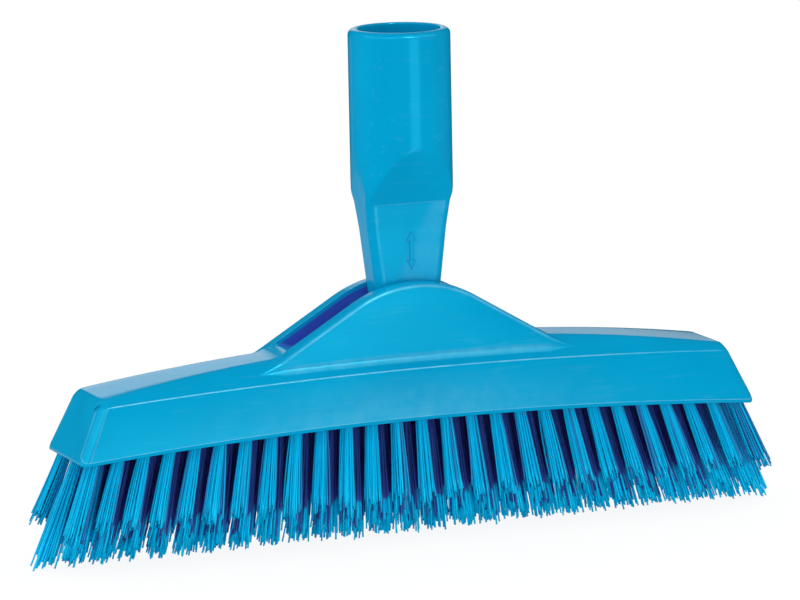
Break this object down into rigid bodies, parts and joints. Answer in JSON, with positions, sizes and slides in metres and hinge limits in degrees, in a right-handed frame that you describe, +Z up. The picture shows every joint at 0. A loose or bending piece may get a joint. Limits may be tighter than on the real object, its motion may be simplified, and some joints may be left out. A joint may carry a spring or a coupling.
{
  "type": "grout brush",
  "caption": "Long narrow grout brush: an arched block with angled rows of stiff bristle tufts trimmed to a V, and a threaded handle socket that tilts and locks upright between two cheeks.",
  "frame": {"origin": "on the floor under the middle of the block, where the longest bristle tips stand", "axes": "+X along the block, +Y across it towards the cheek that the pin enters, +Z up the handle"},
  "size_m": [0.2476, 0.038, 0.1582],
  "materials": {
    "moulded_block": "satin gloss, injection moulded polypropylene, sky blue",
    "moulded_socket": "satin gloss, injection moulded polypropylene, sky blue",
    "pin_steel": "drawn stainless wire, cut and lightly rounded",
    "bristle": "crisp polyester filaments, sky blue, cut ends"
  },
  "bodies": {
    "block": {"brush_block": "moulded_block", "tufts_front_1": "bristle", "tufts_front_2": "bristle", "tufts_front_3": "bristle", "tufts_front_4": "bristle", "tufts_front_5": "bristle", "tufts_front_6": "bristle", "tufts_front_7": "bristle", "tufts_front_8": "bristle", "tufts_front_9": "bristle", "tufts_front_inner_1": "bristle", "tufts_front_inner_2": "bristle", "tufts_front_inner_3": "bristle", "tufts_front_inner_4": "bristle", "tufts_front_inner_5": "bristle", "tufts_front_inner_6": "bristle", "tufts_front_inner_7": "bristle", "tufts_front_inner_8": "bristle", "tufts_front_inner_9": "bristle", "tufts_middle_1": "bristle", "tufts_middle_2": "bristle", "tufts_middle_3": "bristle", "tufts_middle_4": "bristle", "tufts_middle_5": "bristle", "tufts_middle_6": "bristle", "tufts_middle_7": "bristle", "tufts_middle_8": "bristle", "tufts_middle_9": "bristle", "tufts_back_inner_1": "bristle", "tufts_back_inner_2": "bristle", "tufts_back_inner_3": "bristle", "tufts_back_inner_4": "bristle", "tufts_back_inner_5": "bristle", "tufts_back_inner_6": "bristle", "tufts_back_inner_7": "bristle", "tufts_back_inner_8": "bristle", "tufts_back_inner_9": "bristle", "tufts_back_1": "bristle", "tufts_back_2": "bristle", "tufts_back_3": "bristle", "tufts_back_4": "bristle", "tufts_back_5": "bristle", "tufts_back_6": "bristle", "tufts_back_7": "bristle", "tufts_back_8": "bristle", "tufts_back_9": "bristle"},
    "pivot": {"pivot_pin": "pin_steel"},
    "neck": {"handle_socket": "moulded_socket"}
  },
  "joints": [
    {"name": "neck_tilt", "type": "hinge", "parent": "block", "child": "pivot", "pos_m": [0, 0, 0.0665], "axis": [0, 1, 0], "range_deg": [-65, 65]},
    {"name": "neck_lock", "type": "slide", "parent": "pivot", "child": "neck", "axis": [0, 0, 1], "range_m": [0, 0.005]}
  ]
}
